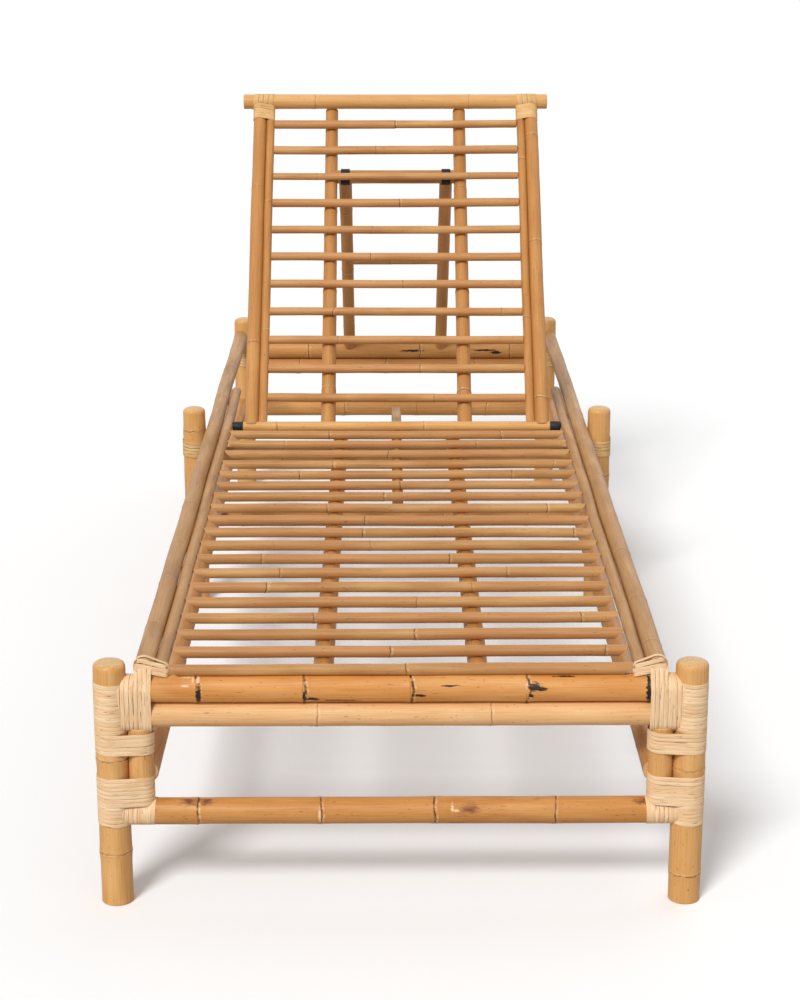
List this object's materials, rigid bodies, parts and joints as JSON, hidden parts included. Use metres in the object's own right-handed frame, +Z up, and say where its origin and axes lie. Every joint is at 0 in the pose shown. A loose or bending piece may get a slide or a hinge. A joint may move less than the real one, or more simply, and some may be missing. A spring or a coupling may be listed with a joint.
{
  "type": "rattan sun lounger",
  "caption": "Long low lounger of rattan poles with a slatted seat, lashed corner posts, and a slatted back that a hinged prop holds up or lets lie flat.",
  "frame": {"origin": "on the floor, under the middle of the part's bounding box", "axes": "+Z up, +Y from the foot end towards the head end, +X to the right of a viewer at the foot end"},
  "size_m": [0.7966, 2.0256, 0.8692],
  "materials": {
    "cane": "satin varnished rattan pole with dark growth rings",
    "peel": "pale matt split cane",
    "black_rubber": "matt black"
  },
  "bodies": {
    "frame": {"front_post_left": "cane", "front_post_right": "cane", "middle_post_left": "cane", "middle_post_right": "cane", "rear_post_left": "cane", "rear_post_right": "cane", "front_top_rail": "cane", "front_second_rail": "cane", "front_stretcher": "cane", "front_strut_left": "cane", "front_strut_right": "cane", "middle_cross_rail": "cane", "middle_stretcher": "cane", "rear_top_rail": "cane", "rear_second_rail": "cane", "rear_stretcher": "cane", "side_rail_left": "cane", "side_rail_right": "cane", "inner_rail_left": "cane", "inner_rail_right": "cane", "side_stretcher_left": "cane", "side_stretcher_right": "cane", "seat_deck": "cane", "front_upper_lashing_left": "peel", "front_upper_lashing_right": "peel", "front_lower_lashing_left": "peel", "front_lower_lashing_right": "peel", "middle_lashing_left": "peel", "middle_lashing_right": "peel", "rear_lashing_left": "peel", "rear_lashing_right": "peel"},
    "backrest": {"pivot_bar": "cane", "pivot_bush_left": "black_rubber", "pivot_bush_right": "black_rubber", "back_top_rail": "cane", "back_stile_left": "cane", "back_stile_right": "cane", "inner_stile_left": "cane", "inner_stile_right": "cane", "back_bearer_left": "cane", "back_bearer_right": "cane", "back_slat_01": "cane", "back_slat_02": "cane", "back_slat_03": "cane", "back_slat_04": "cane", "back_slat_05": "cane", "back_slat_06": "cane", "back_slat_07": "cane", "back_slat_08": "cane", "back_slat_09": "cane", "back_slat_10": "cane", "back_slat_11": "cane", "prop_hinge_bar": "cane", "back_lashing_left": "peel", "back_lashing_right": "peel"},
    "prop": {"prop_leg_left": "cane", "prop_leg_right": "cane", "prop_cross_bar": "cane", "prop_sleeve_left": "black_rubber", "prop_sleeve_right": "black_rubber"}
  },
  "joints": [
    {"name": "backrest_recline", "type": "hinge", "parent": "frame", "child": "backrest", "pos_m": [0, 0.2417, 0.3253], "axis": [1, 0, 0], "range_deg": [-46.6, 0]},
    {"name": "prop_swing", "type": "hinge", "parent": "backrest", "child": "prop", "pos_m": [0, 0.64085, 0.72143], "axis": [1, 0, 0], "range_deg": [-82, 0]}
  ],
  "couplings": [
    {"joint": "prop_swing", "follows": "backrest_recline", "ratio": 1.759}
  ]
}
